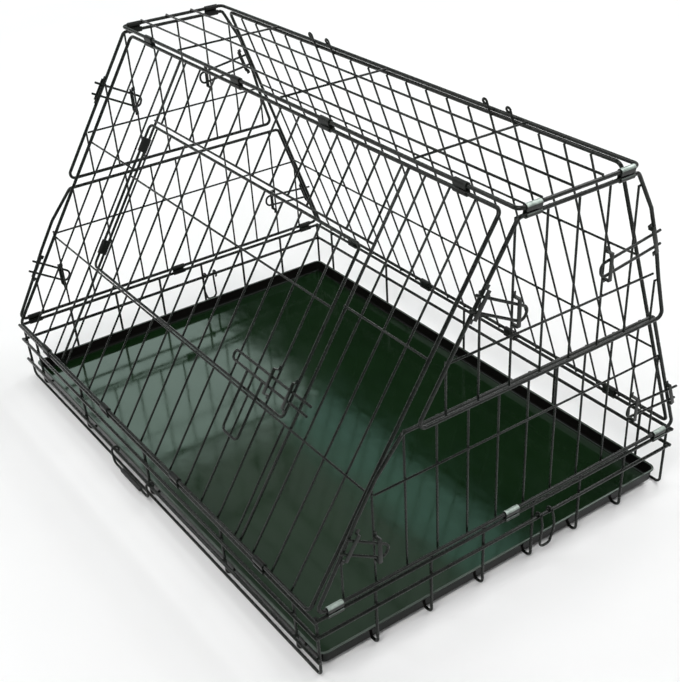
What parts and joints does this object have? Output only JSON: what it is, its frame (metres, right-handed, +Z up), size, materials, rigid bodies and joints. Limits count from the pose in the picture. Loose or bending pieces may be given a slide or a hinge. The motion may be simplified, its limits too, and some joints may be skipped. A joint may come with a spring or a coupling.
{
  "type": "folding wire dog crate",
  "caption": "Folding wire crate with sloped front and back, a hinged front door, split ends on slide bolts, a flip-over roof and a lift-out tray.",
  "frame": {"origin": "on the floor, under the middle of the crate's box", "axes": "+X along the crate to its right end, +Y from the door front to the back, +Z up"},
  "size_m": [0.9414, 0.6176, 0.5462],
  "materials": {
    "wire_enamel": "gloss",
    "clip_sheet": "satin",
    "tray_enamel": "gloss",
    "grip_rubber": "matte"
  },
  "bodies": {
    "base": {"floor_long_wires": "wire_enamel", "floor_cross_wires": "wire_enamel", "right_uprights": "wire_enamel", "left_uprights": "wire_enamel", "front_uprights": "wire_enamel", "back_uprights": "wire_enamel", "lip_rails": "wire_enamel", "handle_rail": "wire_enamel", "front_wall_clips": "clip_sheet", "back_wall_clips": "clip_sheet", "right_lower_clips": "clip_sheet", "left_lower_clips": "clip_sheet"},
    "tray": {"tray": "tray_enamel"},
    "carry_handle": {"handle_bail": "wire_enamel", "handle_grip": "grip_rubber"},
    "right_anchor": {"right_anchor_loop": "wire_enamel"},
    "left_anchor": {"left_anchor_loop": "wire_enamel"},
    "front": {"front_frame": "wire_enamel", "front_side_mesh": "wire_enamel", "front_lower_mesh": "wire_enamel", "front_upper_mesh": "wire_enamel", "door_jambs": "wire_enamel", "front_line_wires": "wire_enamel", "door_clips": "clip_sheet", "roof_clips": "clip_sheet"},
    "door": {"door_frame": "wire_enamel", "door_mesh": "wire_enamel", "door_bolt_guides": "wire_enamel"},
    "door_latch": {"door_bolt": "wire_enamel", "door_bolt_grip": "wire_enamel"},
    "back": {"back_frame": "wire_enamel", "back_mesh": "wire_enamel", "back_hooks": "wire_enamel", "back_line_wires": "wire_enamel"},
    "roof": {"roof_frame": "wire_enamel", "roof_wires": "wire_enamel", "right_upper_clips": "clip_sheet", "left_upper_clips": "clip_sheet"},
    "right_upper": {"right_upper_frame": "wire_enamel", "right_upper_mesh": "wire_enamel", "right_upper_guides": "wire_enamel"},
    "right_upper_front_latch": {"right_upper_front_bolt": "wire_enamel"},
    "right_upper_back_latch": {"right_upper_back_bolt": "wire_enamel"},
    "right_lower": {"right_lower_frame": "wire_enamel", "right_lower_mesh": "wire_enamel", "right_lower_guides": "wire_enamel"},
    "right_lower_front_latch": {"right_lower_front_bolt": "wire_enamel"},
    "right_lower_back_latch": {"right_lower_back_bolt": "wire_enamel"},
    "left_upper": {"left_upper_frame": "wire_enamel", "left_upper_mesh": "wire_enamel", "left_upper_guides": "wire_enamel"},
    "left_upper_front_latch": {"left_upper_front_bolt": "wire_enamel"},
    "left_upper_back_latch": {"left_upper_back_bolt": "wire_enamel"},
    "left_lower": {"left_lower_frame": "wire_enamel", "left_lower_mesh": "wire_enamel", "left_lower_guides": "wire_enamel"},
    "left_lower_front_latch": {"left_lower_front_bolt": "wire_enamel"},
    "left_lower_back_latch": {"left_lower_back_bolt": "wire_enamel"}
  },
  "joints": [
    {"name": "tray_lift", "type": "slide", "parent": "base", "child": "tray", "axis": [0, 0, 1], "range_m": [0, 0.045]},
    {"name": "carry_handle_swing", "type": "hinge", "parent": "base", "child": "carry_handle", "pos_m": [-0.048, -0.30028, 0.031], "axis": [-1, 0, 0], "range_deg": [0, 120]},
    {"name": "right_anchor_swing", "type": "hinge", "parent": "base", "child": "right_anchor", "pos_m": [0.44613, 0.062, 0.07], "axis": [0, 1, 0], "range_deg": [-80, 0]},
    {"name": "left_anchor_swing", "type": "hinge", "parent": "base", "child": "left_anchor", "pos_m": [-0.44613, 0.062, 0.07], "axis": [0, -1, 0], "range_deg": [-80, 0]},
    {"name": "front_fold", "type": "hinge", "parent": "base", "child": "front", "pos_m": [0, -0.30028, 0.106], "axis": [-1, 0, 0], "range_deg": [0, 30]},
    {"name": "roof_flip", "type": "hinge", "parent": "front", "child": "roof", "pos_m": [0, -0.02078, 0.53], "axis": [1, 0, 0], "range_deg": [0, 210]},
    {"name": "back_fold", "type": "hinge", "parent": "base", "child": "back", "pos_m": [0, 0.30472, 0.106], "axis": [1, 0, 0], "range_deg": [0, 70]},
    {"name": "door_swing", "type": "hinge", "parent": "front", "child": "door", "pos_m": [-0.2785, -0.21127, 0.24378], "axis": [0, 0.5586, 0.8294], "range_deg": [-160, 0]},
    {"name": "door_bolt_slide", "type": "slide", "parent": "door", "child": "door_latch", "axis": [1, 0, 0], "range_m": [-0.038, 0]},
    {"name": "right_upper_swing", "type": "hinge", "parent": "roof", "child": "right_upper", "pos_m": [0.46236, 0, 0.521], "axis": [0, 1, 0], "range_deg": [-135, 0]},
    {"name": "right_upper_front_bolt_slide", "type": "slide", "parent": "right_upper", "child": "right_upper_front_latch", "axis": [0, -0.8829, 0.4695], "range_m": [-0.02, 0]},
    {"name": "right_upper_back_bolt_slide", "type": "slide", "parent": "right_upper", "child": "right_upper_back_latch", "axis": [0, 0.9903, 0.1392], "range_m": [-0.02, 0]},
    {"name": "right_lower_drop", "type": "hinge", "parent": "base", "child": "right_lower", "pos_m": [0.44613, 0, 0.106], "axis": [0, -1, 0], "range_deg": [-115, 0]},
    {"name": "right_lower_front_bolt_slide", "type": "slide", "parent": "right_lower", "child": "right_lower_front_latch", "axis": [0, -0.8387, 0.5446], "range_m": [-0.02, 0]},
    {"name": "right_lower_back_bolt_slide", "type": "slide", "parent": "right_lower", "child": "right_lower_back_latch", "axis": [0, 0.9976, -0.0698], "range_m": [-0.02, 0]},
    {"name": "left_upper_swing", "type": "hinge", "parent": "roof", "child": "left_upper", "pos_m": [-0.46236, 0, 0.521], "axis": [0, -1, 0], "range_deg": [-135, 0]},
    {"name": "left_upper_front_bolt_slide", "type": "slide", "parent": "left_upper", "child": "left_upper_front_latch", "axis": [0, -0.8829, 0.4695], "range_m": [-0.02, 0]},
    {"name": "left_upper_back_bolt_slide", "type": "slide", "parent": "left_upper", "child": "left_upper_back_latch", "axis": [0, 0.9903, 0.1392], "range_m": [-0.02, 0]},
    {"name": "left_lower_drop", "type": "hinge", "parent": "base", "child": "left_lower", "pos_m": [-0.44613, 0, 0.106], "axis": [0, 1, 0], "range_deg": [-115, 0]},
    {"name": "left_lower_front_bolt_slide", "type": "slide", "parent": "left_lower", "child": "left_lower_front_latch", "axis": [0, -0.8387, 0.5446], "range_m": [-0.02, 0]},
    {"name": "left_lower_back_bolt_slide", "type": "slide", "parent": "left_lower", "child": "left_lower_back_latch", "axis": [0, 0.9976, -0.0698], "range_m": [-0.02, 0]}
  ],
  "couplings": [
    {"joint": "roof_flip", "follows": "front_fold", "ratio": 7}
  ]
}
